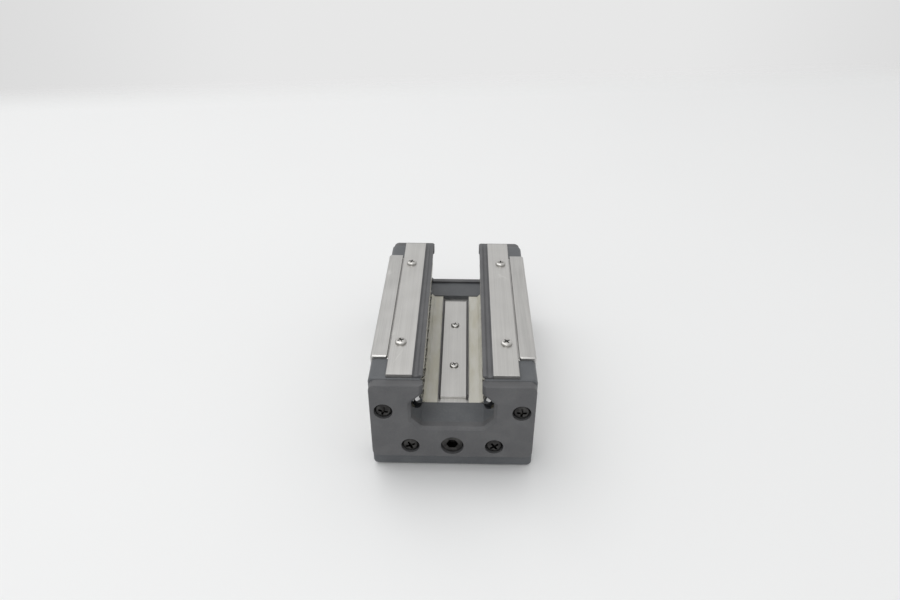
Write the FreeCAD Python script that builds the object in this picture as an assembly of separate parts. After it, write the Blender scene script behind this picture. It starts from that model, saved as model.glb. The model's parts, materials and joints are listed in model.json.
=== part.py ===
import FreeCAD, Part
import itertools
import math
import os

# Linear guide block, size class 25, narrow body, with four rows of recirculating balls.
# It lies on its mounting face with the rail channel open upwards. All sizes are in millimetres.
# The origin is the centre of the mounting face, X runs across the block, Y along the rail and Z up.
# "Web" rows lie beside the thick web over the mounting face, "lip" rows beside the tips of the legs.
# "Front" is towards -Y, "left" is towards -X.

Vector = FreeCAD.Vector

# Overall sizes
BLOCK_WIDTH = 48.0
BLOCK_HEIGHT = 34.5
STEEL_LENGTH = 59.5
END_CAP_THICKNESS = 9.0
END_SEAL_THICKNESS = 2.8

# Rail that the block runs on
RAIL_WIDTH = 23.0
RAIL_NECK_DEPTH = 3.4

# Balls, their rows and the ways round
BALL_DIAMETER = 4.762
BALL_GAP = 0.04
ROW_INSET = 0.35
ROW_DROP = 0.95
ROW_SPACING = 9.5
LIP_DEPTH = 4.85
LAND_GAP = 2.2
TRACK_CLEARANCE = 0.03
RETURN_CLEARANCE = 0.2
TURN_CLEARANCE = 0.15

# Steel body
CEILING_CLEARANCE = 2.1
WALL_CLEARANCE = 1.4
NECK_CLEARANCE = 0.7
LEDGE_WIDTH = 5.0
LEDGE_RISE = 1.0
LEDGE_CHAMFER = 0.5
FOOT_CHAMFER = 1.0
END_CHAMFER = 0.35
REFERENCE_HEIGHT = 11.0
SIDE_RELIEF = 0.2
MOUNT_SPACING_X = 35.0
MOUNT_SPACING_Y = 35.0
MOUNT_DRILL = 5.0
MOUNT_DEPTH = 9.0
MOUNT_COUNTERSINK = 0.6

# Return guides and ball retainers
GUIDE_FLANGE = 0.3
GUIDE_FIT = 0.05
RETAINER_CLEARANCE = 0.1
RETAINER_RAIL_GAP = 0.2
RETAINER_SIDE_GAP = 0.25
RETAINER_NECK_GAP = 0.3
WEB_RETAINER_THICKNESS = 1.0
WEB_RETAINER_SEAL_GAP = 0.2

# End caps and end seals
CAP_SIDE_STEP = 0.4
CAP_FOOT_STEP = 0.6
CAP_CORNER = 1.5
CAP_ROUND = 0.7
CAP_RAIL_GAP = 0.8
SEAL_SIDE_STEP = 0.35
SEAL_FOOT_STEP = 6.0
SEAL_TOP_STEP = 0.3
SEAL_CORNER = 2.0
SEAL_ROUND = 0.4
SEAL_LIP_GAP = 0.15
SEAL_LIP_BEVEL = 0.9

# Side seals, on the tips of the legs
SIDE_PLATE_THICKNESS = 1.2
SIDE_PLATE_CAP_GAP = 0.5
SIDE_PLATE_NECK_GAP = 3.15
SIDE_PLATE_LEDGE_GAP = 0.45
SIDE_PLATE_CHAMFER = 0.2
SIDE_LIP_GAP = 0.2
SIDE_LIP_ROOT = 0.6
SIDE_LIP_GROOVE_WIDTH = 0.8
SIDE_LIP_GROOVE_DEPTH = 0.65
SIDE_LIP_EDGE = 0.3
SIDE_LIP_OVERHANG = 0.6

# Inner seal, on the ceiling of the channel
INNER_PLATE_WIDTH = 7.8
INNER_PLATE_THICKNESS = 0.8
INNER_PLATE_INSET = 3.25
INNER_LIP_WIDTH = 0.6
INNER_LIP_GAP = 0.2
INNER_LIP_EDGE = 0.25

# Screws and plugs
HOLE_CLEARANCE = 0.1
THREAD_CLEARANCE = 0.02
HEAD_CLEARANCE = 0.3
SIDE_SCREW_DIAMETER = 2.0
SIDE_SCREW_HEAD = 3.4
SIDE_SCREW_HEAD_HEIGHT = 0.9
SIDE_SCREW_GRIP = 1.6
SIDE_SCREW_EDGE = 3.05
SIDE_SCREW_INSET = 6.45
INNER_SCREW_DIAMETER = 1.6
INNER_SCREW_HEAD = 2.8
INNER_SCREW_HEAD_HEIGHT = 0.6
INNER_SCREW_GRIP = 2.5
INNER_SCREW_INSET = 15.25
CAP_SCREW_DIAMETER = 2.5
CAP_SCREW_HEAD = 4.7
CAP_SCREW_HEAD_HEIGHT = 1.6
CAP_SCREW_GRIP = 6.0
CAP_SCREW_SEAT = 1.0
WEB_SCREW_X = 12.1
WEB_SCREW_Z = 10.8
LEG_SCREW_EDGE = 4.6
BLIND_END = 0.4
RECESS_WIDTH_SHARE = 0.16
RECESS_SPAN_SHARE = 0.56
RECESS_DEPTH_SHARE = 0.6
HEAD_BEVEL_SHARE = 0.4
PORT_DIAMETER = 6.0
PORT_Z = 11.0
PLUG_LENGTH = 6.0
PLUG_INSET = 0.8
PLUG_KEY = 3.0
PLUG_KEY_DEPTH = 2.6
GREASE_GROOVE = 1.6
GREASE_GROOVE_DROP = 2.5

# Places that follow from the sizes above
BALL_RADIUS = BALL_DIAMETER / 2
HALF_WIDTH = BLOCK_WIDTH / 2
STEEL_END = STEEL_LENGTH / 2
CAP_END = STEEL_END + END_CAP_THICKNESS
SEAL_END = CAP_END + END_SEAL_THICKNESS
SEAT_Z = BLOCK_HEIGHT - SIDE_PLATE_THICKNESS
LEDGE_Z = SEAT_Z + LEDGE_RISE
LEDGE_X = HALF_WIDTH - LEDGE_WIDTH
LIP_ROW_Z = SEAT_Z - LIP_DEPTH
WEB_ROW_Z = LIP_ROW_Z - ROW_SPACING
ROW_HEIGHTS = {"web": WEB_ROW_Z, "lip": LIP_ROW_Z}
ROW_X = RAIL_WIDTH / 2 - ROW_INSET
RAIL_TOP_Z = WEB_ROW_Z - ROW_DROP
CEILING_Z = RAIL_TOP_Z - CEILING_CLEARANCE
WALL_X = RAIL_WIDTH / 2 + WALL_CLEARANCE
RAIL_NECK_X = RAIL_WIDTH / 2 - RAIL_NECK_DEPTH
RETURN_X = (WALL_X + HALF_WIDTH) / 2
TURN_X = (ROW_X + RETURN_X) / 2
TURN_RADIUS = (RETURN_X - ROW_X) / 2
TURN_BORE = BALL_RADIUS + TURN_CLEARANCE
GUIDE_HALF_WIDTH = TURN_BORE + GUIDE_FLANGE
CAP_HALF_WIDTH = HALF_WIDTH - CAP_SIDE_STEP
SEAL_HALF_WIDTH = CAP_HALF_WIDTH - SEAL_SIDE_STEP
SIDE_PLATE_INNER_X = RAIL_NECK_X + SIDE_PLATE_NECK_GAP
SIDE_PLATE_OUTER_X = LEDGE_X - SIDE_PLATE_LEDGE_GAP
SIDE_PLATE_END = CAP_END - SIDE_PLATE_CAP_GAP
SIDE_SCREW_X = SIDE_PLATE_OUTER_X - SIDE_SCREW_EDGE
SIDE_SCREW_Y = STEEL_END - SIDE_SCREW_INSET
INNER_PLATE_END = STEEL_END - INNER_PLATE_INSET
INNER_LIP_X = INNER_PLATE_WIDTH / 2 + INNER_LIP_WIDTH
WEB_RETAINER_INNER_X = INNER_LIP_X + WEB_RETAINER_SEAL_GAP
INNER_SCREW_Y = INNER_PLATE_END - INNER_SCREW_INSET
LEG_SCREW_X = HALF_WIDTH - LEG_SCREW_EDGE
LEG_SCREW_Z = (WEB_ROW_Z + LIP_ROW_Z) / 2
CAP_SCREW_SPOTS = [(WEB_SCREW_X, WEB_SCREW_Z), (LEG_SCREW_X, LEG_SCREW_Z)]
CAP_SCREW_SEAT_Y = CAP_END + CAP_SCREW_SEAT
GREASE_GROOVE_Z = CEILING_Z - GREASE_GROOVE_DROP
OPEN_TOP_Z = 2 * BLOCK_HEIGHT

# How close two places are when they count as one
SAME_PLACE = 1e-6


def both_sides(points):
    """The points of a right half, from the middle outwards, and their mirror images, as one outline."""
    return points + [(-x, z) for x, z in reversed(points)]


def prism(points, start, end):
    """A section in X and Z, drawn along Y from start to end."""
    loop = [Vector(x, start, z) for x, z in points]
    return Part.Face(Part.makePolygon(loop + loop[:1])).extrude(Vector(0, end - start, 0))


def bar(x, z, radius, start, end):
    """A round bar along Y."""
    return Part.makeCylinder(radius, end - start, Vector(x, start, z), Vector(0, 1, 0))


def post(x, y, radius, start, end):
    """A round bar along Z."""
    return Part.makeCylinder(radius, end - start, Vector(x, y, start), Vector(0, 0, 1))


def across(shape):
    """The mirror image of a right-hand piece."""
    return shape.mirror(Vector(), Vector(1, 0, 0))


def along(shape):
    """The mirror image of a piece at the rear end."""
    return shape.mirror(Vector(), Vector(0, 1, 0))


def edges_at(shape, y):
    """The edges that lie in a plane across the rail."""
    return [edge for edge in shape.Edges if all(abs(v.Y - y) < SAME_PLACE for v in edge.Vertexes)]


def channel_outline(top, land, side, neck):
    """The section of the rail's channel, with its own gap to each face of the rail."""
    shift = math.sqrt(2) * (land - LAND_GAP / 2)
    web_line = ROW_X - WEB_ROW_Z + shift
    lip_line = ROW_X + LIP_ROW_Z + shift
    ceiling = RAIL_TOP_Z - top
    wall = RAIL_WIDTH / 2 + side
    neck_x = RAIL_NECK_X + neck
    return both_sides([
        (ceiling + web_line, ceiling),
        (wall, wall - web_line),
        (wall, lip_line - wall),
        (neck_x, lip_line - neck_x),
        (neck_x, OPEN_TOP_Z),
    ])


def steel_channel():
    """The channel through the steel body, which carries the ball tracks."""
    return channel_outline(CEILING_CLEARANCE, LAND_GAP, WALL_CLEARANCE, NECK_CLEARANCE)


def row_point(row, toward_rail, away_from_wall):
    """A point beside a ball row, given along its 45 degree contact line and square to it."""
    rise = 1 if row == "web" else -1
    diagonal = math.sqrt(0.5)
    x = ROW_X - diagonal * (toward_rail + away_from_wall)
    z = ROW_HEIGHTS[row] + rise * diagonal * (toward_rail - away_from_wall)
    return x, z


def steel_block():
    """The hardened body: legs, ball tracks, return bores and tapped holes."""
    relief_x = HALF_WIDTH - SIDE_RELIEF
    outline = both_sides([
        (HALF_WIDTH - FOOT_CHAMFER, 0),
        (HALF_WIDTH, FOOT_CHAMFER),
        (HALF_WIDTH, REFERENCE_HEIGHT),
        (relief_x, REFERENCE_HEIGHT + SIDE_RELIEF),
        (relief_x, LEDGE_Z - LEDGE_CHAMFER),
        (relief_x - LEDGE_CHAMFER, LEDGE_Z),
        (LEDGE_X, LEDGE_Z),
        (LEDGE_X, SEAT_Z),
    ])
    body = prism(outline, -STEEL_END, STEEL_END)
    body = body.makeChamfer(END_CHAMFER, edges_at(body, STEEL_END) + edges_at(body, -STEEL_END))
    cuts = [prism(steel_channel(), -STEEL_END, STEEL_END)]
    for side, height in itertools.product((-1, 1), ROW_HEIGHTS.values()):
        cuts.append(bar(side * ROW_X, height, BALL_RADIUS + TRACK_CLEARANCE, -STEEL_END, STEEL_END))
        cuts.append(bar(side * RETURN_X, height, BALL_RADIUS + RETURN_CLEARANCE, -STEEL_END, STEEL_END))
    for x, y in itertools.product((-MOUNT_SPACING_X / 2, MOUNT_SPACING_X / 2),
                                  (-MOUNT_SPACING_Y / 2, MOUNT_SPACING_Y / 2)):
        drill = MOUNT_DRILL / 2
        cuts.append(post(x, y, drill, 0, MOUNT_DEPTH))
        cuts.append(Part.makeCone(drill + MOUNT_COUNTERSINK, drill, MOUNT_COUNTERSINK, Vector(x, y, 0)))
    thread = CAP_SCREW_DIAMETER / 2 + THREAD_CLEARANCE
    depth = CAP_SCREW_GRIP + BLIND_END
    for side, (x, z) in itertools.product((-1, 1), CAP_SCREW_SPOTS):
        cuts.append(bar(side * x, z, thread, STEEL_END - depth, STEEL_END))
        cuts.append(bar(side * x, z, thread, -STEEL_END, depth - STEEL_END))
    thread = SIDE_SCREW_DIAMETER / 2 + THREAD_CLEARANCE
    for side, end in itertools.product((-1, 1), (-1, 1)):
        cuts.append(post(side * SIDE_SCREW_X, end * SIDE_SCREW_Y, thread,
                         SEAT_Z - SIDE_SCREW_GRIP - BLIND_END, SEAT_Z))
    thread = INNER_SCREW_DIAMETER / 2 + THREAD_CLEARANCE
    for end in (-1, 1):
        cuts.append(post(0, end * INNER_SCREW_Y, thread,
                         CEILING_Z - INNER_SCREW_GRIP - BLIND_END, CEILING_Z))
    return body.cut(cuts)


def rounded_plate(half_width, low, high, corner, start, end, edge_round):
    """A plate across the rail, with round corners and a rounded outer edge."""
    plate = Part.makeBox(2 * half_width, end - start, high - low, Vector(-half_width, start, low))
    corners = [edge for edge in plate.Edges if edge.BoundBox.YLength > (end - start) / 2]
    plate = plate.makeFillet(corner, corners)
    return plate.makeFillet(edge_round, edges_at(plate, end))


def turn_ring(side, height):
    """The curved way round which the balls of one row turn at the rear end."""
    return Part.makeTorus(TURN_RADIUS, TURN_BORE, Vector(side * TURN_X, STEEL_END, height))


def cap_channel():
    """The channel through the end caps, which clears the rail all round."""
    gap = CAP_RAIL_GAP
    return channel_outline(gap, gap, gap, gap)


def end_cap():
    """The rear cap: it turns the balls round, spreads the grease and carries the seal."""
    cap = rounded_plate(CAP_HALF_WIDTH, CAP_FOOT_STEP, SEAT_Z, CAP_CORNER, STEEL_END, CAP_END, CAP_ROUND)
    cuts = [prism(cap_channel(), STEEL_END, CAP_END)]
    for side, height in itertools.product((-1, 1), ROW_HEIGHTS.values()):
        low = height - GUIDE_HALF_WIDTH
        high = height + GUIDE_HALF_WIDTH
        cuts.append(post(side * TURN_X, STEEL_END, TURN_RADIUS, low, high))
        cuts.append(turn_ring(side, height))
    for side, (x, z) in itertools.product((-1, 1), CAP_SCREW_SPOTS):
        cuts.append(bar(side * x, z, CAP_SCREW_DIAMETER / 2 + HOLE_CLEARANCE, STEEL_END, CAP_END))
    cuts.append(bar(0, PORT_Z, PORT_DIAMETER / 2 + THREAD_CLEARANCE, STEEL_END, CAP_END))
    half = GREASE_GROOVE / 2
    floor = GREASE_GROOVE_Z - half
    groove_end = STEEL_END + GREASE_GROOVE
    sill = (TURN_X + half, GREASE_GROOVE_Z + half)
    cuts.append(prism(both_sides([(TURN_X + half, floor), sill]), STEEL_END, groove_end))
    cuts.append(prism(both_sides([(half, PORT_Z), (half, floor)]), STEEL_END, groove_end))
    for side in (-1, 1):
        near = side * (TURN_X - half)
        far = side * (TURN_X + half)
        rise = [(near, floor), (far, floor), (far, WEB_ROW_Z), (near, WEB_ROW_Z)]
        cuts.append(prism(rise, STEEL_END, groove_end))
    return cap.cut(cuts)


def return_guide(row):
    """The rear right half-round guide that the balls of one row turn about."""
    height = ROW_HEIGHTS[row]
    half = GUIDE_HALF_WIDTH - GUIDE_FIT
    radius = TURN_RADIUS - GUIDE_FIT
    foot = Vector(TURN_X, STEEL_END, height - half)
    guide = Part.makeCylinder(radius, 2 * half, foot, Vector(0, 0, 1), 180)
    return guide.cut([turn_ring(1, height), prism(cap_channel(), STEEL_END, CAP_END)])


def end_seal():
    """The rear wiper: a moulded plate whose bevelled lip follows the rail."""
    low = CAP_FOOT_STEP + SEAL_FOOT_STEP
    high = SEAT_Z - SEAL_TOP_STEP
    seal = rounded_plate(SEAL_HALF_WIDTH, low, high, SEAL_CORNER, CAP_END, SEAL_END, SEAL_ROUND)
    gap = SEAL_LIP_GAP
    wide = gap + SEAL_LIP_BEVEL
    cuts = [prism(channel_outline(gap, gap, gap, gap), CAP_END, SEAL_END)]
    sections = []
    for y, opening in ((SEAL_END - SEAL_LIP_BEVEL, gap), (SEAL_END, wide)):
        loop = [Vector(x, y, z) for x, z in channel_outline(opening, opening, opening, opening)]
        sections.append(Part.makePolygon(loop + loop[:1]))
    cuts.append(Part.makeLoft(sections, True, True))
    for side, (x, z) in itertools.product((-1, 1), CAP_SCREW_SPOTS):
        cuts.append(bar(side * x, z, CAP_SCREW_DIAMETER / 2 + HOLE_CLEARANCE, CAP_END, SEAL_END))
        cuts.append(bar(side * x, z, CAP_SCREW_HEAD / 2 + HEAD_CLEARANCE, CAP_SCREW_SEAT_Y, SEAL_END))
    cuts.append(bar(0, PORT_Z, PORT_DIAMETER / 2 + HEAD_CLEARANCE, CAP_END, SEAL_END))
    return seal.cut(cuts)


def ball():
    """One ball, drawn as a body of 60 equal flats with every corner on the true ball."""
    golden = (1 + math.sqrt(5)) / 2
    signs = itertools.product((-1, 1), (-golden, golden))
    tips = [Vector(*turned) for a, b in signs for turned in ((0, a, b), (a, b, 0), (b, 0, a))]
    reach = 1 + golden

    def near(p, q):
        return 0 < p.distanceToPoint(q) < reach

    def on_ball(point):
        return Vector(point).normalize() * BALL_RADIUS

    flats = []
    for p, q in itertools.combinations(tips, 2):
        if not near(p, q):
            continue
        first, second = [on_ball(p + q + r) for r in tips if near(p, r) and near(q, r)]
        for tip in (p, q):
            corners = [on_ball(tip), first, second]
            if (first - corners[0]).cross(second - corners[0]).dot(tip) < 0:
                corners.reverse()
            flats.append(Part.Face(Part.makePolygon(corners + corners[:1])))
    shell = Part.Shell(flats)
    shell.sewShape()
    return Part.Solid(shell)


def circuit_point(distance):
    """Where a ball is on the right-hand circuit, at a distance along its way round."""
    half_turn = math.pi * TURN_RADIUS
    if distance < STEEL_LENGTH:
        return ROW_X, distance - STEEL_END
    distance -= STEEL_LENGTH
    if distance < half_turn:
        angle = math.pi - distance / TURN_RADIUS
        return TURN_X + TURN_RADIUS * math.cos(angle), STEEL_END + TURN_RADIUS * math.sin(angle)
    distance -= half_turn
    if distance < STEEL_LENGTH:
        return RETURN_X, STEEL_END - distance
    angle = -(distance - STEEL_LENGTH) / TURN_RADIUS
    return TURN_X + TURN_RADIUS * math.cos(angle), -STEEL_END + TURN_RADIUS * math.sin(angle)


def ball_circuit(row):
    """The balls of one right-hand circuit, spread evenly so that they clear each other in the turns."""
    way = 2 * STEEL_LENGTH + 2 * math.pi * TURN_RADIUS
    chord = BALL_DIAMETER + BALL_GAP
    pitch = 2 * TURN_RADIUS * math.asin(chord / (2 * TURN_RADIUS))
    count = math.floor(way / pitch)
    one = ball()
    balls = []
    for index in range(count):
        x, y = circuit_point(index * way / count)
        balls.append(one.translated(Vector(x, y, ROW_HEIGHTS[row])))
    return Part.Compound(balls)


def without_balls(section):
    """A retainer strip of a given section, hollowed where the balls run past it."""
    strip = prism(section, -STEEL_END, STEEL_END)
    reach = BALL_RADIUS + RETAINER_CLEARANCE
    return strip.cut([bar(ROW_X, height, reach, -STEEL_END, STEEL_END) for height in ROW_HEIGHTS.values()])


def retainer_front(row, away_from_wall):
    """A point on the retainers' face towards the rail."""
    return row_point(row, LAND_GAP / 2 - RETAINER_RAIL_GAP, away_from_wall)


def retainer_back(row, away_from_wall):
    """A point on the land of the steel body, behind the retainers."""
    return row_point(row, -LAND_GAP / 2, away_from_wall)


def slide_to(point, target_x=None, target_z=None):
    """Moves a point along a rising 45 degree line until it reaches an x or a z."""
    x, z = point
    step = target_x - x if target_z is None else target_z - z
    return x + step, z + step


def web_retainer():
    """The right strip on the channel's ceiling, which holds the web row on its inner side."""
    face = CEILING_Z + WEB_RETAINER_THICKNESS
    inside = BALL_RADIUS / 2
    return without_balls([
        (WEB_RETAINER_INNER_X, CEILING_Z),
        slide_to(retainer_back("web", 0), target_z=CEILING_Z),
        retainer_back("web", inside),
        retainer_front("web", inside),
        slide_to(retainer_front("web", 0), target_z=face),
        (WEB_RETAINER_INNER_X, face),
    ])


def side_retainer():
    """The right strip on the wall of the leg, which holds both rows on their outer sides."""
    face = RAIL_WIDTH / 2 + RETAINER_SIDE_GAP
    inside = -BALL_RADIUS / 2
    half = []
    for row in ("web", "lip"):
        front = retainer_front(row, inside)
        back = retainer_back(row, inside)
        rise = 1 if row == "web" else -1
        corner = (WALL_X, back[1] + rise * (WALL_X - back[0]))
        half.append([(face, front[1] + rise * (face - front[0])), front, back, corner])
    return without_balls(half[0] + half[1][::-1])


def lip_retainer():
    """The right strip under the lip of the leg, which holds the lip row on its inner side."""
    inside = BALL_RADIUS / 2
    face = RAIL_NECK_X + RETAINER_NECK_GAP
    lip_x = RAIL_NECK_X + NECK_CLEARANCE
    front = retainer_front("lip", inside)
    back = retainer_back("lip", inside)
    lip_z = back[1] + back[0] - lip_x
    return without_balls([(lip_x, lip_z), back, front, (face, front[1] + front[0] - face), (face, lip_z)])


def side_seal_plate():
    """The right steel strip of the side seal, flush with the end of its rubber lip."""
    edge = SIDE_PLATE_CHAMFER
    plate = prism([
        (SIDE_PLATE_INNER_X, SEAT_Z),
        (SIDE_PLATE_OUTER_X, SEAT_Z),
        (SIDE_PLATE_OUTER_X, BLOCK_HEIGHT - edge),
        (SIDE_PLATE_OUTER_X - edge, BLOCK_HEIGHT),
        (SIDE_PLATE_INNER_X, BLOCK_HEIGHT),
    ], -SIDE_PLATE_END, SIDE_PLATE_END)
    hole = SIDE_SCREW_DIAMETER / 2 + HOLE_CLEARANCE
    spots = (-SIDE_SCREW_Y, SIDE_SCREW_Y)
    return plate.cut([post(SIDE_SCREW_X, y, hole, SEAT_Z, BLOCK_HEIGHT) for y in spots])


def side_seal_lip():
    """The right rubber lip, bonded to the inner edge of its strip and wiping the neck of the rail."""
    tip = RAIL_NECK_X + SIDE_LIP_GAP
    steel_lip = RAIL_NECK_X + NECK_CLEARANCE
    groove = BLOCK_HEIGHT - SIDE_LIP_GROOVE_DEPTH
    groove_outer = SIDE_PLATE_INNER_X - SIDE_LIP_ROOT
    groove_inner = groove_outer - SIDE_LIP_GROOVE_WIDTH
    return prism([
        (SIDE_PLATE_INNER_X, SEAT_Z),
        (SIDE_PLATE_INNER_X, BLOCK_HEIGHT),
        (groove_outer, groove),
        (groove_inner, groove),
        (groove_inner - SIDE_LIP_ROOT, BLOCK_HEIGHT - SIDE_LIP_EDGE / 2),
        (tip, BLOCK_HEIGHT - SIDE_LIP_EDGE),
        (tip, BLOCK_HEIGHT - 2 * SIDE_LIP_EDGE),
        (steel_lip + SIDE_LIP_OVERHANG, SEAT_Z),
    ], -SIDE_PLATE_END, SIDE_PLATE_END)


def inner_seal_plate():
    """The steel strip in the middle of the channel's ceiling."""
    half = INNER_PLATE_WIDTH / 2
    top = CEILING_Z + INNER_PLATE_THICKNESS
    outline = [(-half, CEILING_Z), (half, CEILING_Z), (half, top), (-half, top)]
    plate = prism(outline, -INNER_PLATE_END, INNER_PLATE_END)
    hole = INNER_SCREW_DIAMETER / 2 + HOLE_CLEARANCE
    spots = (-INNER_SCREW_Y, INNER_SCREW_Y)
    return plate.cut([post(0, y, hole, CEILING_Z, top) for y in spots])


def inner_seal_lip():
    """The right rubber edge of the inner seal, which wipes the top of the rail."""
    root = INNER_PLATE_WIDTH / 2
    tip = RAIL_TOP_Z - INNER_LIP_GAP
    return prism([
        (root, CEILING_Z),
        (INNER_LIP_X, CEILING_Z),
        (INNER_LIP_X, tip),
        (INNER_LIP_X - INNER_LIP_EDGE, tip),
        (root, CEILING_Z + INNER_PLATE_THICKNESS),
    ], -INNER_PLATE_END, INNER_PLATE_END)


def screw(diameter, head, head_height, length):
    """A cross-recessed screw that points down, with the underside of its head at the origin."""
    shank = post(0, 0, diameter / 2, -length, 0)
    bevel = head_height * HEAD_BEVEL_SHARE
    rim = head_height - bevel
    body = shank.fuse([
        post(0, 0, head / 2, 0, rim),
        Part.makeCone(head / 2, head / 2 - bevel, bevel, Vector(0, 0, rim)),
    ]).removeSplitter()
    width = head * RECESS_WIDTH_SHARE
    span = head * RECESS_SPAN_SHARE
    depth = head_height * RECESS_DEPTH_SHARE
    slot = Part.makeBox(span, width, depth, Vector(-span / 2, -width / 2, head_height - depth))
    cross = slot.fuse(Part.makeBox(width, span, depth, Vector(-width / 2, -span / 2, head_height - depth)))
    return body.cut(cross)


def side_seal_screws():
    """The four screws of the side seals."""
    length = SIDE_PLATE_THICKNESS + SIDE_SCREW_GRIP
    one = screw(SIDE_SCREW_DIAMETER, SIDE_SCREW_HEAD, SIDE_SCREW_HEAD_HEIGHT, length)
    spots = itertools.product((-SIDE_SCREW_X, SIDE_SCREW_X), (-SIDE_SCREW_Y, SIDE_SCREW_Y))
    return Part.Compound([one.translated(Vector(x, y, BLOCK_HEIGHT)) for x, y in spots])


def inner_seal_screws():
    """The two low screws of the inner seal."""
    length = INNER_PLATE_THICKNESS + INNER_SCREW_GRIP
    one = screw(INNER_SCREW_DIAMETER, INNER_SCREW_HEAD, INNER_SCREW_HEAD_HEIGHT, length)
    top = CEILING_Z + INNER_PLATE_THICKNESS
    spots = (-INNER_SCREW_Y, INNER_SCREW_Y)
    return Part.Compound([one.translated(Vector(0, y, top)) for y in spots])


def end_cap_screws():
    """The four rear screws, which hold the seal and the cap on the steel body."""
    length = CAP_SCREW_SEAT + END_CAP_THICKNESS + CAP_SCREW_GRIP
    one = screw(CAP_SCREW_DIAMETER, CAP_SCREW_HEAD, CAP_SCREW_HEAD_HEIGHT, length)
    one.rotate(Vector(), Vector(1, 0, 0), -90)
    return Part.Compound([one.translated(Vector(side * x, CAP_SCREW_SEAT_Y, z))
                          for side, (x, z) in itertools.product((-1, 1), CAP_SCREW_SPOTS)])


def grease_plug():
    """The rear grub screw, which closes the grease port."""
    face = SEAL_END - PLUG_INSET
    plug = bar(0, PORT_Z, PORT_DIAMETER / 2, face - PLUG_LENGTH, face)
    key_radius = PLUG_KEY / math.sqrt(3)
    corners = [math.radians(60 * index) for index in range(6)]
    key = [(key_radius * math.cos(angle), PORT_Z + key_radius * math.sin(angle)) for angle in corners]
    return plug.cut(prism(key, face - PLUG_KEY_DEPTH, face))


def all_pieces():
    """Every piece of the block, by name."""
    pieces = {
        "steel_block": steel_block(),
        "side_seal_screws": side_seal_screws(),
        "inner_seal_plate": inner_seal_plate(),
        "inner_seal_screws": inner_seal_screws(),
    }
    rear = {
        "end_cap": end_cap(),
        "end_seal": end_seal(),
        "end_cap_screws": end_cap_screws(),
        "grease_plug": grease_plug(),
    }
    right = {
        "web_ball_retainer": web_retainer(),
        "side_ball_retainer": side_retainer(),
        "lip_ball_retainer": lip_retainer(),
        "side_seal_plate": side_seal_plate(),
        "side_seal_lip": side_seal_lip(),
        "inner_seal_lip": inner_seal_lip(),
    }
    for row in ROW_HEIGHTS:
        right[f"{row}_ball_circuit"] = ball_circuit(row)
        guide = return_guide(row)
        rear[f"right_{row}_return_guide"] = guide
        rear[f"left_{row}_return_guide"] = across(guide)
    for name, shape in rear.items():
        pieces[f"rear_{name}"] = shape
        pieces[f"front_{name}"] = along(shape)
    for name, shape in right.items():
        pieces[f"right_{name}"] = shape
        pieces[f"left_{name}"] = across(shape)
    return pieces


os.makedirs("parts", exist_ok=True)
for name, shape in all_pieces().items():
    shape.exportStep(os.path.join("parts", f"{name}.step"))
    print(f"{name}: {len(shape.Solids)} solid(s), {shape.Volume:.1f} mm3")
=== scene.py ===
# %% [markdown]
# # A linear guide block, dressed for a photograph
# A linear guide block is the carriage that rolls along a profiled steel rail in a machine. Here it lies
# on its mounting face, so its rail channel is open upwards and its working parts show: steel strips with
# rubber lips on both legs, a sealed strip in the middle of the channel, and plastic caps with rubber
# wipers at both ends. The solid shapes come from a CAD model, and this lesson gives them finishes, small
# rounded details, light and a camera. Everything is in metres, +Z is up and the rail would run along Y.

import json
import math

import bmesh
import bpy
from mathutils import Matrix, Vector


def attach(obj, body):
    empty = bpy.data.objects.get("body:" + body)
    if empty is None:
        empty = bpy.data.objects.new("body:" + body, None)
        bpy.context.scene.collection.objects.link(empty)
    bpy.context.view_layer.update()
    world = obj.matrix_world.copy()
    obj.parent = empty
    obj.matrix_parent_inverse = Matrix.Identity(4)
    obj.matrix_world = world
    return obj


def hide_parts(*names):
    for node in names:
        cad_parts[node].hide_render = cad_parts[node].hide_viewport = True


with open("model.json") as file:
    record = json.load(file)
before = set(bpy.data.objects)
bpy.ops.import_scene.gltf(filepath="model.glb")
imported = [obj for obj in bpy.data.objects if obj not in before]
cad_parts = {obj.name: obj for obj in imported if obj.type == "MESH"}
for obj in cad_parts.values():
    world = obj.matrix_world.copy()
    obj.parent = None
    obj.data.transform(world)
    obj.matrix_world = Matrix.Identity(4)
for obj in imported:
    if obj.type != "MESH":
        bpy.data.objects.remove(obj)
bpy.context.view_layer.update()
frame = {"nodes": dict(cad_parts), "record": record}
nodes = frame["nodes"]
MM = 0.001
print("pieces in the CAD model:", len(nodes))

# %% [markdown]
# ## Shader maths as Python
# A finish is a network of nodes, and the shader editor is one way to wire it. Written out node by node,
# even a small sum fills a page, so one class wraps a node's output and lets Python's own operators add
# the nodes: `1 - mask * 0.3` becomes two of them. Values use Math nodes, vectors Vector Math, and colours
# Mix, because a Math node would turn a colour grey. Any other node comes from the method `node`. The Mix
# node has a set of sockets for each type of data, so those for colours are given by number. Geometry
# nodes, further below, are wired by the same class.

# %% One class for all nodes
MIX_SHARE = 0
MIX_FIRST = 6
MIX_SECOND = 7
MIX_RESULT = 2


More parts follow.
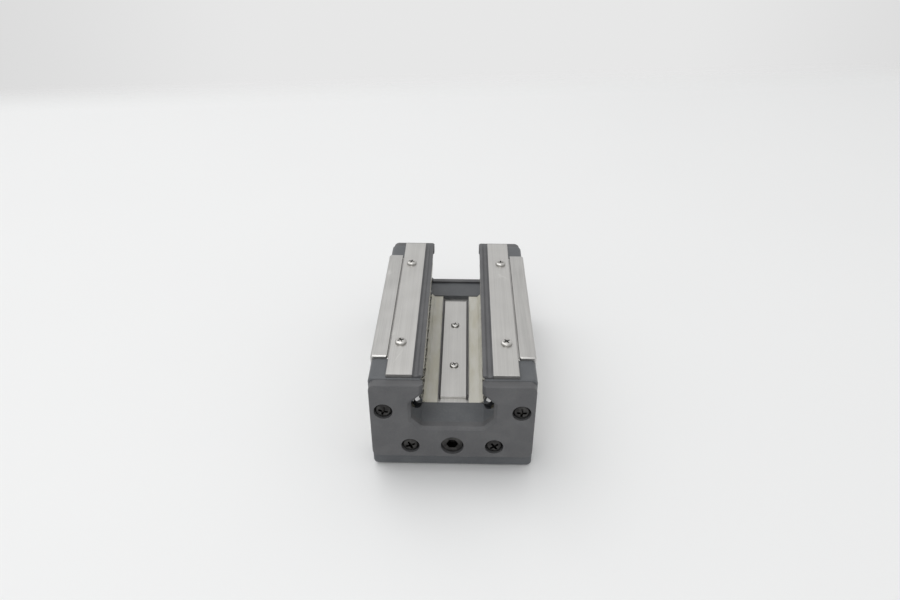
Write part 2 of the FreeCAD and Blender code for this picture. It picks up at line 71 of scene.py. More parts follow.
class Wire:
    """The output of a node, to be used in sums as a value, a vector or a colour."""

    def __init__(self, tree, socket=None):
        self.tree = tree
        self.socket = socket

    def node(self, kind, settings=None, inputs=None, output=0):
        """Adds a node: first its settings, then the values or links of its sockets."""
        made = self.tree.nodes.new(kind)
        for name, value in (settings or {}).items():
            setattr(made, name, value)
        for name, value in (inputs or {}).items():
            plug = made.inputs[name]
            if isinstance(value, Wire):
                self.tree.links.new(value.socket, plug)
            elif plug.type == "RGBA":
                plug.default_value = (*value, 1.0)
            elif plug.type == "VECTOR" and not hasattr(value, "__len__"):
                plug.default_value = (value, value, value)
            else:
                plug.default_value = value
        return Wire(self.tree, made.outputs[output] if made.outputs else None)

    def sum(self, operation, left, right):
        """Adds the node that suits the two sides: Mix, Vector Math or Math."""
        kinds = [side.socket.type for side in (left, right) if isinstance(side, Wire)]
        if "RGBA" in kinds:
            settings = {"data_type": "RGBA", "blend_type": operation}
            inputs = {MIX_SHARE: 1.0, MIX_FIRST: left, MIX_SECOND: right}
            return self.node("ShaderNodeMix", settings, inputs, MIX_RESULT)
        kind = "ShaderNodeVectorMath" if "VECTOR" in kinds else "ShaderNodeMath"
        return self.node(kind, {"operation": operation}, {0: left, 1: right})

    def __add__(self, other):
        return self.sum("ADD", self, other)

    def __radd__(self, other):
        return self.sum("ADD", other, self)

    def __sub__(self, other):
        return self.sum("SUBTRACT", self, other)

    def __rsub__(self, other):
        return self.sum("SUBTRACT", other, self)

    def __mul__(self, other):
        return self.sum("MULTIPLY", self, other)

    def __rmul__(self, other):
        return self.sum("MULTIPLY", other, self)

    def ramp(self, low, high):
        """A smooth step from 0 at `low` to 1 at `high`."""
        inputs = {"Value": self, "From Min": low, "From Max": high}
        return self.node("ShaderNodeMapRange", {"interpolation_type": "SMOOTHSTEP"}, inputs)

    def mix(self, first, second):
        """A colour that goes from `first` at 0 to `second` at 1."""
        inputs = {MIX_SHARE: self, MIX_FIRST: first, MIX_SECOND: second}
        return self.node("ShaderNodeMix", {"data_type": "RGBA"}, inputs, MIX_RESULT)


print("operators:", [name for name in vars(Wire) if name.endswith(("add__", "sub__", "mul__"))])

# %% [markdown]
# ## Patterns in millimetres
# Grain, scratches and smudges have real sizes, so the finishes measure the surface in millimetres of the
# object's own frame. No unwrapping is needed: a 3-D noise runs through the solid, and stretching it along
# one axis turns round patches into the long lines that grinding and rolling leave. A scratch is the thin
# line where such a noise passes through its middle value. That noise is stretched far beyond the part,
# because shorter lines would bend back like hairs. Edges are found by comparing the normal with a rounded
# one: the more they differ, the nearer the edge.

# %% Noise, scratches and edges
SCRATCH_LENGTH = 150.0
NOISE_MIDDLE = 0.5
EDGE_SAMPLES = 6
AT_EDGE = 0.82
OFF_EDGE = 0.985


def begin(name):
    """A new empty material, and a wire to start its nodes from."""
    material = bpy.data.materials.new(name)
    material.use_nodes = True
    material.node_tree.nodes.clear()
    return material, Wire(material.node_tree)


def surface_place(wire):
    """The place on the object, in millimetres."""
    return wire.node("ShaderNodeTexCoord", output="Object") * (1 / MM)


def clouds(place, size, detail=2.0):
    """Soft patches, 0 to 1. `size` is their length in mm along each axis, or one number for all three."""
    sizes = size if hasattr(size, "__len__") else (size, size, size)
    inputs = {"Vector": place * tuple(1 / side for side in sizes), "Scale": 1.0, "Detail": detail}
    return place.node("ShaderNodeTexNoise", {}, inputs)


def scratches(place, turn, spacing, width):
    """Thin straight lines, 1 on a line and 0 beside it, turned about Z."""
    inputs = {"Vector": place, "Angle": turn}
    turned = place.node("ShaderNodeVectorRotate", {"rotation_type": "Z_AXIS"}, inputs)
    value = clouds(turned, (spacing, SCRATCH_LENGTH, spacing), detail=0.0)
    off_middle = value.node("ShaderNodeMath", {"operation": "ABSOLUTE"}, {0: value - NOISE_MIDDLE})
    return 1 - off_middle.ramp(0.0, width)


def edges(wire, reach):
    """1 along the edges of the piece and 0 away from them. `reach` is in mm."""
    rounded = wire.node("ShaderNodeBevel", {"samples": EDGE_SAMPLES}, {"Radius": reach * MM})
    plain = wire.node("ShaderNodeNewGeometry", output="Normal")
    alike = wire.node("ShaderNodeVectorMath", {"operation": "DOT_PRODUCT"}, {0: rounded, 1: plain}, "Value")
    return 1 - alike.ramp(AT_EDGE, OFF_EDGE)


def bumped(height, depth):
    """A normal that follows a height pattern, `depth` mm from its lowest to its highest."""
    return height.node("ShaderNodeBump", {}, {"Distance": depth * MM, "Height": height})


def close(material, wire, **sockets):
    """Ends a material with its surface shader."""
    inputs = {name.replace("_", " "): value for name, value in sockets.items()}
    shader = wire.node("ShaderNodeBsdfPrincipled", {}, inputs)
    wire.node("ShaderNodeOutputMaterial", {}, {"Surface": shader})
    print("finish:", material.name, "with", len(material.node_tree.nodes), "nodes")
    return material


print("scratches are stretched over", SCRATCH_LENGTH, "mm")

# %% [markdown]
# ## Ground bearing steel
# The body is hardened steel that was ground on a machine, so it is a satin grey with very fine lines
# along the rail, a few stray scratches from handling and thin, uneven oil. A plain metal colour would
# look like plastic foil. Here the lines change colour, roughness and height, the scratches are bright,
# and the oil is a patchy clear coat. Sharp edges are brighter and smoother, because they are burnished by
# handling. The strips are rolled, not ground, so they share the finish with longer lines and a lighter
# tone.

# %% The steel finishes
LINE_WIDTH = 0.16
BAND_WIDTH = 2.4
OIL_PATCH = 7.0
SCRATCHED_PATCH = 5.0
CROSSED_PATCH = 4.0
STEEL_EDGE = 0.12
BURNISHED = (0.72, 0.71, 0.69)


def satin_steel(name, dark, light, line_length, roughness, oil):
    """Ground or rolled steel with lines along the rail."""
    material, wire = begin(name)
    place = surface_place(wire)
    lines = clouds(place, (LINE_WIDTH, line_length, LINE_WIDTH), detail=3.0)
    bands = clouds(place, (BAND_WIDTH, 2 * line_length, BAND_WIDTH), detail=2.0)
    patches = clouds(place, OIL_PATCH, detail=4.0)
    along = scratches(place, turn=0.35, spacing=1.9, width=0.006)
    across = scratches(place, turn=-0.8, spacing=2.3, width=0.005)
    marks = along * clouds(place, SCRATCHED_PATCH).ramp(0.52, 0.6)
    marks = marks + across * clouds(place, CROSSED_PATCH).ramp(0.55, 0.62)
    worn = edges(wire, STEEL_EDGE)
    tone = lines * 0.5 + bands * 0.3 + patches * 0.2
    colour = tone.ramp(0.3, 0.7).mix(dark, light)
    height = lines * 0.6 + bands * 0.4 - marks * 0.35
    return close(
        material, wire,
        Base_Color=(marks * 0.35 + worn * 0.45).mix(colour, BURNISHED),
        Metallic=1.0,
        Roughness=roughness + 0.12 * (lines - NOISE_MIDDLE) + 0.1 * (patches - NOISE_MIDDLE) - 0.08 * worn,
        Coat_Weight=patches.ramp(0.5, 0.72) * oil,
        Coat_Roughness=0.14,
        Normal=bumped(height, depth=0.004),
    )


ground_steel = satin_steel(
    "ground_steel",
    dark=(0.455, 0.45, 0.437),
    light=(0.575, 0.568, 0.552),
    line_length=14.0,
    roughness=0.36,
    oil=0.3,
)
rolled_strip = satin_steel(
    "rolled_strip",
    dark=(0.505, 0.497, 0.481),
    light=(0.602, 0.594, 0.576),
    line_length=30.0,
    roughness=0.33,
    oil=0.2,
)

# %% [markdown]
# ## Moulded plastic and rubber
# The end caps are filled plastic in a bluish charcoal, moulded with a faint grain. The wipers and the
# lips are dark rubber, duller, with a grey bloom that comes and goes. Dark materials are easily made too
# dark: much of what the eye sees on them is the white room mirrored in the surface, so the grain and the
# roughness matter as much as the colour. A little dust lies on both, in patches.

# %% The dark finishes
BLOOM_PATCH = 6.0
DUST_GRAIN = 0.35
DUST_PATCH = 9.0
MOULDED_EDGE = 0.15


def dark_moulding(name, deep, pale, grain, depth, roughness, bloom):
    """Moulded plastic or rubber with a fine grain, a pale bloom, dust and lighter edges."""
    material, wire = begin(name)
    place = surface_place(wire)
    fine = clouds(place, grain, detail=3.0)
    patches = clouds(place, BLOOM_PATCH, detail=4.0)
    dust = clouds(place, DUST_GRAIN, detail=1.0).ramp(0.7, 0.78) * clouds(place, DUST_PATCH).ramp(0.45, 0.7)
    worn = edges(wire, MOULDED_EDGE)
    haze = patches.ramp(0.35, 0.75) * bloom + fine.ramp(0.4, 0.75) * 0.22 + worn * 0.25 + dust * 0.3
    return close(
        material, wire,
        Base_Color=haze.mix(deep, pale),
        Roughness=roughness + 0.16 * (patches - NOISE_MIDDLE) + 0.1 * (fine - NOISE_MIDDLE) + dust * 0.15,
        IOR=1.5,
        Normal=bumped(fine, depth),
    )


cap_plastic = dark_moulding(
    "cap_plastic",
    deep=(0.08, 0.086, 0.093),
    pale=(0.19, 0.196, 0.202),
    grain=0.3,
    depth=0.028,
    roughness=0.42,
    bloom=0.18,
)
wiper_rubber = dark_moulding(
    "wiper_rubber",
    deep=(0.078, 0.079, 0.083),
    pale=(0.195, 0.195, 0.197),
    grain=0.2,
    depth=0.022,
    roughness=0.5,
    bloom=0.18,
)

# %% [markdown]
# ## Natural plastic
# The strips that hold the balls, and the guides they turn about, are undyed plastic. New, it is ivory.
# Oil turns it amber and slightly glassy, more in some places than in others, so the colour and the clear
# coat share a pattern.

# %% The natural plastic finishes
SOAKED_PATCH = (3.0, 12.0, 3.0)
FLOW_LINE = (0.5, 6.0, 0.5)


def natural_plastic(name, clean, oiled, oil):
    """Undyed plastic with an oily tint."""
    material, wire = begin(name)
    place = surface_place(wire)
    soaked = clouds(place, SOAKED_PATCH, detail=3.0).ramp(0.3, 0.7)
    flow = clouds(place, FLOW_LINE, detail=2.0)
    return close(
        material, wire,
        Base_Color=(soaked * 0.8 + flow * 0.2).mix(clean, oiled),
        Roughness=0.45 - 0.15 * soaked + 0.08 * (flow - NOISE_MIDDLE),
        IOR=1.48,
        Coat_Weight=soaked * oil,
        Coat_Roughness=0.12,
        Normal=bumped(flow, depth=0.006),
    )


retainer_plastic = natural_plastic(
    "retainer_plastic",
    clean=(0.68, 0.668, 0.615),
    oiled=(0.57, 0.547, 0.44),
    oil=0.5,
)
guide_plastic = natural_plastic(
    "guide_plastic",
    clean=(0.62, 0.60, 0.53),
    oiled=(0.52, 0.49, 0.38),
    oil=0.3,
)

# %% [markdown]
# ## Balls, screws and plugs
# The balls are lapped to a mirror, so almost nothing varies on them. The screws of the strips are plated,
# with dull patches, and those of the end caps are blackened, as are the grease plugs. Shade is painted
# into the recesses, such as that of a screw, and between the balls: an ambient occlusion node measures how
# open a spot is, and the colour there is darkened towards a near black where walls close it in.

# %% The bright and blackened finishes
PAINTED_SHADE = (0.05, 0.047, 0.042)
PAINTED_SHADE_REACH = 0.5
PAINTED_SHADE_SAMPLES = 8
DULL_PATCH = 1.6
METAL_EDGE = 0.08


def small_metal(name, colour, other, roughness, grain, depth):
    """The metal of small parts, with a fine grain, two tones in patches, and painted shade in recesses."""
    material, wire = begin(name)
    place = surface_place(wire)
    fine = clouds(place, grain, detail=2.0)
    patches = clouds(place, DULL_PATCH, detail=3.0)
    worn = edges(wire, METAL_EDGE)
    # Painted shade: where nearby walls close a spot in, the ambient occlusion darkens its colour towards
    # near black.
    inputs = {"Distance": PAINTED_SHADE_REACH * MM}
    openness = wire.node("ShaderNodeAmbientOcclusion", {"samples": PAINTED_SHADE_SAMPLES}, inputs, "AO")
    bare = (patches.ramp(0.35, 0.7) * 0.7 + worn * 0.3).mix(colour, other)
    return close(
        material, wire,
        Base_Color=openness.ramp(0.25, 0.8).mix(PAINTED_SHADE, bare),
        Metallic=1.0,
        Roughness=roughness + 0.14 * (patches - NOISE_MIDDLE) + 0.06 * (fine - NOISE_MIDDLE),
        Normal=bumped(fine, depth),
    )


ball_steel = small_metal(
    "ball_steel",
    colour=(0.58, 0.58, 0.58),
    other=(0.50, 0.50, 0.49),
    roughness=0.1,
    grain=0.3,
    depth=0.0004,
)
screw_steel = small_metal(
    "screw_steel",
    colour=(0.50, 0.49, 0.47),
    other=(0.66, 0.65, 0.63),
    roughness=0.26,
    grain=0.12,
    depth=0.003,
)
dark_steel = small_metal(
    "dark_steel",
    colour=(0.035, 0.034, 0.034),
    other=(0.09, 0.088, 0.085),
    roughness=0.38,
    grain=0.15,
    depth=0.004,
)

# %% [markdown]
# ## Which piece has which finish
# The record that comes with the CAD model names a material slot for every piece. Going through that list
# gives each piece its finish, and nothing is left with the plain colour that it was imported with.

# %% Give every piece its finish
FINISHES = {
    "bearing_steel": ground_steel,
    "strip_steel": rolled_strip,
    "screw_steel": screw_steel,
    "dark_steel": dark_steel,
    "ball_steel": ball_steel,
    "cap_plastic": cap_plastic,
    "guide_plastic": guide_plastic,
    "retainer_plastic": retainer_plastic,
    "wiper_rubber": wiper_rubber,
}
slot_of = {part["node"]: part["material_slot"] for part in frame["record"]["subparts"]}
for name, piece in nodes.items():
    piece.data.materials.clear()
    piece.data.materials.append(FINISHES[slot_of[name]])
print("dressed:", len(nodes), "pieces in", len(FINISHES), "finishes")

# %% [markdown]
# ## Stand-ins for small pieces
# The balls and the screws are plain in the CAD model, to keep it light. Seen close up they need more
# shape, but a CAD mesh stays as it is, so a new mesh stands in for it at the same place and in the same
# finish. One node holds many balls or screws. To find each of them, touching corners are joined in a
# copy, and each island of joined corners is one ball or one screw.

# %% Find small pieces, and replace them
TOUCHING = 0.001 * MM


def islands(mesh):
    """The groups of corners that are joined by edges."""
    seen = set()
    for start in mesh.verts:
        if start in seen:
            continue
        seen.add(start)
        group = [start]
        for corner in group:
            fresh = [edge.other_vert(corner) for edge in corner.link_edges]
            fresh = [other for other in fresh if other not in seen]
            seen.update(fresh)
            group.extend(fresh)
        yield group


def joined_mesh(node_name):
    """A copy of a CAD mesh with its touching corners joined."""
    mesh = bmesh.new()
    mesh.from_mesh(nodes[node_name].data)
    bmesh.ops.remove_doubles(mesh, verts=mesh.verts, dist=TOUCHING)
    return mesh


def stand_in(mesh, name, node_name):
    """A new piece of the object that is shown in place of a CAD node, in the same finish."""
    for face in mesh.faces:
        face.smooth = True
    data = bpy.data.meshes.new(name)
    mesh.to_mesh(data)
    mesh.free()
    data.materials.append(FINISHES[slot_of[node_name]])
    piece = bpy.data.objects.new(name, data)
    bpy.context.scene.collection.objects.link(piece)
    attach(piece, "root")
    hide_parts(node_name)
    return piece


small_pieces = [name for name in sorted(nodes) if name.endswith(("ball_circuit", "screws"))]
print("nodes to be replaced:", small_pieces)

# %% [markdown]
# ## Round balls
# A ball has to be round and mirror-smooth. A subdivided icosahedron spreads its corners evenly, which a
# latitude and longitude sphere doesn't, so it needs fewer faces for the same roundness. The centre and
# the radius are read from the corners of the CAD ball, which lie on the real sphere.

# %% Four circuits of round balls
BALL_SUBDIVISIONS = 4


def round_balls(node_name):
    """One mesh with a smooth ball for each ball of a CAD circuit."""
    flat = joined_mesh(node_name)
    smooth = bmesh.new()
    count = 0
    for group in islands(flat):
        centre = sum((corner.co for corner in group), Vector()) / len(group)
        radius = max((corner.co - centre).length for corner in group)
        place = Matrix.Translation(centre)
        bmesh.ops.create_icosphere(smooth, subdivisions=BALL_SUBDIVISIONS, radius=radius, matrix=place)
        count += 1
    flat.free()
    piece = stand_in(smooth, node_name.replace("ball_circuit", "balls"), node_name)
    print(piece.name, "has", count, "balls")


for name in small_pieces:
    if name.endswith("ball_circuit"):
        round_balls(name)

# %% [markdown]
# ## Domed heads
# The screws have low domed heads with a cross recess. A spun profile makes the dome, but its rays don't
# run along the arms of the cross, and a boolean leaves ragged faces on such a small thing. A square grid
# bent into a disc has straight lines near its middle, so the cross can simply be pressed into it. Its
# arms get shallower towards their tips. Below, widths and lengths are shares of the head's radius, and
# heights and depths are shares of its height.

# %% The top of a head
RIM_HEIGHT = 0.5
DOME_POWER = 3
ARM_WIDTH = 0.1
ARM_LENGTH = 0.55
ARM_WALL = 0.05
ARM_SLOPE = 0.6
ARM_DEPTH = 0.85


def pressed(across_arm, along_arm):
    """How far a place lies in one arm of the cross, from 0 outside to 1 inside."""
    side = min(max((ARM_WIDTH + ARM_WALL - abs(across_arm)) / ARM_WALL, 0), 1)
    tip = min(max((ARM_LENGTH + ARM_WALL - abs(along_arm)) / ARM_WALL, 0), 1)
    return side * tip


def head_corner(u, v, radius, height):
    """A corner of the head's top, from its place in the square grid, -1 to 1 each way."""
    x = u * math.sqrt(1 - v * v / 2)
    y = v * math.sqrt(1 - u * u / 2)
    out = min(math.hypot(x, y), 1)
    dome = RIM_HEIGHT + (1 - RIM_HEIGHT) * math.sqrt(1 - out ** DOME_POWER)
    recess = max(pressed(u, v), pressed(v, u)) * (1 - ARM_SLOPE * max(abs(u), abs(v)))
    return Vector((x * radius, y * radius, height * (dome - ARM_DEPTH * recess)))


print("bottom of the cross at", round(head_corner(0, 0, 1, 1).z, 2), "of a head's height")

# %% [markdown]
# ## Whole screws
# Under the head, each ring of corners is a copy of the rim: straight down to the seat, in to the shank,
# and down to the shank's end. A fitter leaves every screw at another angle, so each one is turned further
# than the one before. The place and the length come from the CAD screw, so that the new one sits in the
# same hole.

# %% Screws in place
GRID = 40
FIRST_TURN = 0.4
NEXT_TURN = 0.9
HEAD_CREASE = math.radians(40)
UP = (0, 0, 1)
FORWARD = (0, -1, 0)
BACKWARD = (0, 1, 0)


def add_screw(mesh, frame_of_head, radius, height, shank, length):
    """Adds one screw, whose head sits on the origin of its own frame and faces its Z axis."""
    steps = range(GRID + 1)
    top = {
        (i, j): mesh.verts.new(head_corner(2 * i / GRID - 1, 2 * j / GRID - 1, radius, height))
        for i in steps for j in steps
    }
    for i in range(GRID):
        for j in range(GRID):
            mesh.faces.new([top[i, j], top[i + 1, j], top[i + 1, j + 1], top[i, j + 1]])
    rim = [(i, 0) for i in range(GRID)] + [(GRID, j) for j in range(GRID)]
    rim += [(i, GRID) for i in range(GRID, 0, -1)] + [(0, j) for j in range(GRID, 0, -1)]
    rings = [[top[spot] for spot in rim]]
    for share, level in ((1, 0), (shank / radius, 0), (shank / radius, -length)):
        places = [(corner.co.x * share, corner.co.y * share, level) for corner in rings[0]]
        rings.append([mesh.verts.new(place) for place in places])
    for upper, lower in zip(rings, rings[1:]):
        for here in range(len(rim)):
            after = (here + 1) % len(rim)
            mesh.faces.new([upper[after], upper[here], lower[here], lower[after]])
    mesh.faces.new(rings[-1][::-1])
    made = list(top.values()) + [corner for ring in rings[1:] for corner in ring]
    bmesh.ops.transform(mesh, matrix=frame_of_head, verts=made)


def domed_screws(node_name, outward, height, shank):
    """Screws with domed heads in place of those of a CAD node. `outward` is the way their heads face."""
    plain = joined_mesh(node_name)
    domed = bmesh.new()
    facing = Vector(outward).to_track_quat("Z", "Y").to_matrix().to_4x4()
    count = 0
    for group in islands(plain):
        own = [facing.inverted() @ corner.co for corner in group]
        low = Vector([min(point[axis] for point in own) for axis in range(3)])
        high = Vector([max(point[axis] for point in own) for axis in range(3)])
        middle = (low + high) / 2
        seat = high.z - height
        spin = Matrix.Rotation(NEXT_TURN * count + FIRST_TURN, 4, "Z")
        place = facing @ Matrix.Translation((middle.x, middle.y, seat)) @ spin
        add_screw(domed, place, (high.x - low.x) / 2, height, shank, seat - low.z)
        count += 1
    plain.free()
    piece = stand_in(domed, "domed_" + node_name, node_name)
    piece.data.set_sharp_from_angle(angle=HEAD_CREASE)
    print(piece.name, "has", count, "screws")


domed_screws("side_seal_screws", UP, height=0.9 * MM, shank=1.0 * MM)
domed_screws("inner_seal_screws", UP, height=0.6 * MM, shank=0.8 * MM)
domed_screws("front_end_cap_screws", FORWARD, height=1.6 * MM, shank=1.25 * MM)
domed_screws("rear_end_cap_screws", BACKWARD, height=1.6 * MM, shank=1.25 * MM)

# %% [markdown]
# ## Edges of the end caps
# Inside the end caps the balls turn round, and the mouths of these turns cut through the channel's wall
# along fine curved edges. A bevel would fold over itself there, so these edges stay as crisp as the mould
# leaves them. The edges to be rounded could be marked by hand in edit mode. Geometry nodes do it on the
# way and leave the CAD mesh as it is: an edge that is sharp and lies outside the turns gets a bevel
# weight of 1. A second group comes after the bevel. It shades the cap smoothly, apart from the edges that
# are still sharp.

# %% Mark what to round and what to keep
SHARP_EDGE = math.radians(35)
STILL_SHARP = math.radians(60)
# Where the turns lie, in mm: from the block's middle along X and Y, and from the table along Z.
TURNS = {"X": (9.05, 22.0), "Y": (0.0, 36.5), "Z": (16.8, 30.5)}


def edge_nodes(name):
    """A new group of geometry nodes: its first wire, the shape that comes in and the angle at each edge."""
    tree = bpy.data.node_groups.new(name, "GeometryNodeTree")
    for way in ("INPUT", "OUTPUT"):
        tree.interface.new_socket("Geometry", in_out=way, socket_type="NodeSocketGeometry")
    start = Wire(tree)
    return start, start.node("NodeGroupInput"), start.node("GeometryNodeInputMeshEdgeAngle")


def edges_to_round():
    """Marks the sharp edges of a cap for the bevel, apart from those in the turns of the balls."""
    start, shape, angle = edge_nodes("edges_to_round")
    place = start.node("GeometryNodeInputPosition") * (1 / MM)
    place = start.node("ShaderNodeVectorMath", {"operation": "ABSOLUTE"}, {0: place})
    sharp = angle.sum("GREATER_THAN", angle, SHARP_EDGE)
    in_turn = 1.0
    for axis, (low, high) in TURNS.items():
        along = start.node("ShaderNodeSeparateXYZ", {}, {"Vector": place}, axis)
        in_turn = in_turn * along.sum("GREATER_THAN", along, low) * along.sum("LESS_THAN", along, high)
    settings = {"data_type": "FLOAT", "domain": "EDGE"}
    inputs = {"Geometry": shape, "Name": "bevel_weight_edge", "Value": sharp * (1 - in_turn)}
    marked = start.node("GeometryNodeStoreNamedAttribute", settings, inputs)
    start.node("NodeGroupOutput", {}, {"Geometry": marked})
    return start.tree


def edges_to_keep():
    """Shades a cap smoothly, apart from the edges that are still sharp after the bevel."""
    start, shape, angle = edge_nodes("edges_to_keep")
    smooth = start.node("GeometryNodeSetShadeSmooth", {"domain": "FACE"}, {"Geometry": shape})
    hard = angle.sum("GREATER_THAN", angle, STILL_SHARP)
    inputs = {"Geometry": smooth, "Selection": hard, "Shade Smooth": False}
    crisp = start.node("GeometryNodeSetShadeSmooth", {"domain": "EDGE"}, inputs)
    start.node("NodeGroupOutput", {}, {"Geometry": crisp})
    return start.tree


to_round = edges_to_round()
to_keep = edges_to_keep()
print("groups of", len(to_round.nodes), "and", len(to_keep.nodes), "geometry nodes")

# %% [markdown]
# ## Softened edges
# No real edge is perfectly sharp: a ground or moulded edge has a tiny radius that catches the light. A
# bevel node in the finish would only fake it, so a bevel modifier rounds the real shape. Two modifiers
# make it ready. A weld joins the faces that the import left apart, and a planar decimate makes each flat
# face whole again, because a bevel leaves streaks where slim triangles meet at a hole. Normals weighted
# by area then keep the large faces flat.

# %% Round the edges
EDGE_ROUNDING = {
    "bearing_steel": 0.07,
    "strip_steel": 0.06,
    "dark_steel": 0.06,
    "cap_plastic": 0.08,
    "wiper_rubber": 0.07,
    "retainer_plastic": 0.06,
}
FLAT_ENOUGH = math.radians(0.5)
ROUNDING_STEPS = 2
FACE_WEIGHT = 100


def soften(piece, rounding, is_cap):
    """Rounds the sharp edges of a piece with modifiers. `rounding` is in mm."""
    weld = piece.modifiers.new("join_faces", "WELD")
    weld.merge_threshold = TOUCHING
    whole = piece.modifiers.new("whole_faces", "DECIMATE")
    whole.decimate_type = "DISSOLVE"
    whole.angle_limit = FLAT_ENOUGH
    if is_cap:
        piece.modifiers.new("mark_edges", "NODES").node_group = to_round
    bevel = piece.modifiers.new("soften_edges", "BEVEL")
    bevel.width = rounding * MM
    bevel.segments = ROUNDING_STEPS
    bevel.limit_method = "WEIGHT" if is_cap else "ANGLE"
    bevel.angle_limit = SHARP_EDGE
    bevel.use_clamp_overlap = False
    bevel.loop_slide = False
    if is_cap:
        piece.modifiers.new("keep_edges", "NODES").node_group = to_keep
    flat = piece.modifiers.new("keep_faces_flat", "WEIGHTED_NORMAL")
    flat.weight = FACE_WEIGHT
    flat.keep_sharp = is_cap


for name, piece in nodes.items():
    slot = slot_of[name]
    if slot in EDGE_ROUNDING and not piece.hide_render:
        soften(piece, EDGE_ROUNDING[slot], slot == "cap_plastic")
print("softened:", sum(len(piece.modifiers) > 0 for piece in nodes.values()), "pieces")

# %% [markdown]
# ## Table
# The block stands on a pale table in a pale room. The table ends a little behind the block, where the
# picture shows a faint, blurred step in tone that runs slightly askew. A single sheet is enough. It stays
# plain so that nothing draws the eye away, and it grows clear towards its far edge, which blurs the step
# without blurring the block.

# %% A pale table
TABLE_REACH = 3.0
TABLE_END = 0.41
TABLE_END_SLOPE = 0.13
TABLE_FADE = 0.08
TABLE_TONE = (0.855, 0.86, 0.86)
TABLE_PATCH = 90.0
TABLE_SHADE = 0.985

table_finish, wire = begin("pale_table")
shaded_tone = tuple(TABLE_SHADE * part for part in TABLE_TONE)
tone = clouds(surface_place(wire), TABLE_PATCH, detail=1.0).mix(TABLE_TONE, shaded_tone)
table_place = wire.node("ShaderNodeTexCoord", output="Object")
aside = wire.node("ShaderNodeSeparateXYZ", {}, {"Vector": table_place}, "X")
back = wire.node("ShaderNodeSeparateXYZ", {}, {"Vector": table_place}, "Y")
to_far_edge = TABLE_END + TABLE_END_SLOPE * aside - back
close(table_finish, wire, Base_Color=tone, Roughness=0.6, Alpha=to_far_edge.ramp(0.0, TABLE_FADE))
far_left = TABLE_END - TABLE_END_SLOPE * TABLE_REACH
far_right = TABLE_END + TABLE_END_SLOPE * TABLE_REACH
table_corners = [
    (-TABLE_REACH, -TABLE_REACH, 0),
    (TABLE_REACH, -TABLE_REACH, 0),
    (TABLE_REACH, far_right, 0),
    (-TABLE_REACH, far_left, 0),
]
table_mesh = bpy.data.meshes.new("table")
table_mesh.from_pydata(table_corners, [], [range(4)])
table_mesh.materials.append(table_finish)
table = bpy.data.objects.new("table", table_mesh)
bpy.context.scene.collection.objects.link(table)
print("table ends", TABLE_END, "m behind the block's middle")

# %% [markdown]
# ## Light
# The room is pale all round, as in a studio with white walls, so most of the light comes from everywhere.
# The world gives that part. To the camera and in mirrors it shows the tone of the room, which is dimmer
# to the sides. As a lamp it is a little weaker, because two soft lamps add the rest: a large one above on
# the left, and a smaller one in front, which puts a bright line on the front edges of the steel. Together
# they reach about the level at which a colour looks as it is written, and the shadow under the block
# stays soft.

# %% World and lamps
ROOM_TONE = 0.8
SIDE_TONE = 0.7
SIDE_FROM = 0.25
SIDE_FULL = 0.65
AMBIENT = 0.71

world = bpy.data.worlds.new("pale_room")
bpy.context.scene.world = world
world.use_nodes = True
world.node_tree.nodes.clear()
room = Wire(world.node_tree)
seen = room.node("ShaderNodeLightPath", output="Is Camera Ray")
seen = seen + room.node("ShaderNodeLightPath", output="Is Glossy Ray")
seen = seen + room.node("ShaderNodeLightPath", output="Is Transmission Ray")
way_seen = room.node("ShaderNodeTexCoord", output="Generated")
sideways = room.node("ShaderNodeSeparateXYZ", {}, {"Vector": way_seen}, "X")
sideways = room.node("ShaderNodeMath", {"operation": "ABSOLUTE"}, {0: sideways})
wall = ROOM_TONE - (ROOM_TONE - SIDE_TONE) * sideways.ramp(SIDE_FROM, SIDE_FULL)
level = AMBIENT + (wall - AMBIENT) * seen.ramp(0.0, 1.0)
background = room.node("ShaderNodeBackground", {}, {"Color": (1.0, 1.0, 1.0), "Strength": level})
room.node("ShaderNodeOutputWorld", {}, {"Surface": background})


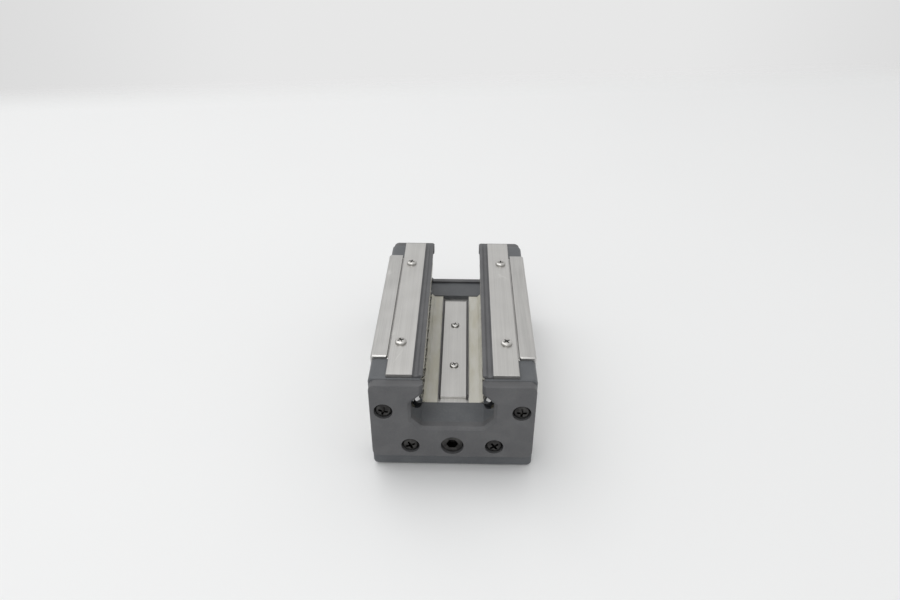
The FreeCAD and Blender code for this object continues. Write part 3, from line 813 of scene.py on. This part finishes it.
def soft_lamp(name, place, size, share):
    """A square lamp that faces the block and adds a share of the light on the table there."""
    data = bpy.data.lights.new(name, "AREA")
    way = Vector(place)
    data.size = size
    # Light thins out with the square of the distance, and more where it meets the table at a slant.
    data.energy = share * math.pi ** 2 * way.length_squared * way.length / way.z
    lamp = bpy.data.objects.new(name, data)
    lamp.location = way
    lamp.rotation_mode = "QUATERNION"
    lamp.rotation_quaternion = (-way).to_track_quat("-Z", "Y")
    bpy.context.scene.collection.objects.link(lamp)
    print("lamp:", name, round(data.energy, 1), "W")


soft_lamp("lamp_above_left", (-0.35, 0.25, 0.95), size=0.9, share=0.25)
soft_lamp("lamp_front", (-0.15, -0.75, 1.0), size=0.5, share=0.11)

# %% [markdown]
# ## Camera
# The photograph was taken from above the front end, close to the block, with a wide view. A camera can be
# moved by eye until the picture fits. Here its place, its direction and its lens were solved from the
# edges, corners and screws of the block in the picture, because a small error in the lens shows as a
# wrong slope of every long edge.

# %% Set the camera
CAMERA_PLACE = (0.00256, -0.18688, 0.15473)
LOOK_DOWN = math.radians(32.77)
LOOK_ASIDE = math.radians(-1.27)
CAMERA_ROLL = math.radians(0.03)
SENSOR_WIDTH = 36.0
LENS = 27.67
NEAREST = 0.01
FARTHEST = 20.0

camera_data = bpy.data.cameras.new("camera")
camera_data.sensor_fit = "HORIZONTAL"
camera_data.sensor_width = SENSOR_WIDTH
camera_data.lens = LENS
camera_data.clip_start = NEAREST
camera_data.clip_end = FARTHEST
camera = bpy.data.objects.new("camera", camera_data)
bpy.context.scene.collection.objects.link(camera)
turn = (
    Matrix.Rotation(-LOOK_ASIDE, 4, "Z")
    @ Matrix.Rotation(math.pi / 2 - LOOK_DOWN, 4, "X")
    @ Matrix.Rotation(CAMERA_ROLL, 4, "Z")
)
camera.matrix_world = Matrix.Translation(CAMERA_PLACE) @ turn
bpy.context.scene.camera = camera
bpy.context.scene.view_settings.view_transform = "Standard"
print("camera at", CAMERA_PLACE)

# %% [markdown]
# ## The end
# A finish must not make the block larger.
